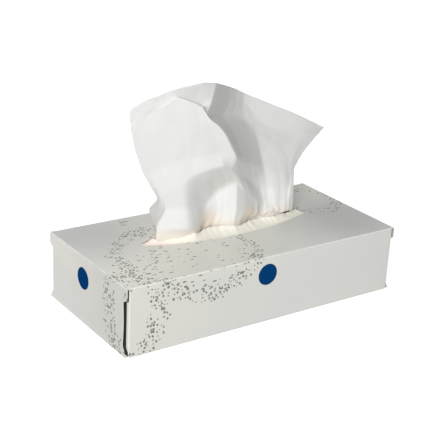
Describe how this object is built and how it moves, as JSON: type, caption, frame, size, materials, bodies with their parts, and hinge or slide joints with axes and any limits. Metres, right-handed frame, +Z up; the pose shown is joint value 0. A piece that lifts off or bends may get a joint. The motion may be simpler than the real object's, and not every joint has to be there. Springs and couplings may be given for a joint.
{
  "type": "tissue box",
  "caption": "Flat paperboard carton of facial tissues with a lens-shaped slit opening and one folded tissue pulled up, ready to take.",
  "frame": {"origin": "middle of the carton's bottom face", "axes": "+X along the carton's long side, -Y out of its front long panel, +Z up"},
  "size_m": [0.24, 0.115, 0.1727],
  "materials": {
    "board": "pearly coated paperboard with a sparse grey print",
    "film": "thin soft milky film",
    "tissue": "soft creped tissue paper, matt"
  },
  "bodies": {
    "root": {"carton": "board", "film_window": "film", "tissue_stack": "tissue", "pulled_tissue": "tissue"}
  },
  "joints": []
}
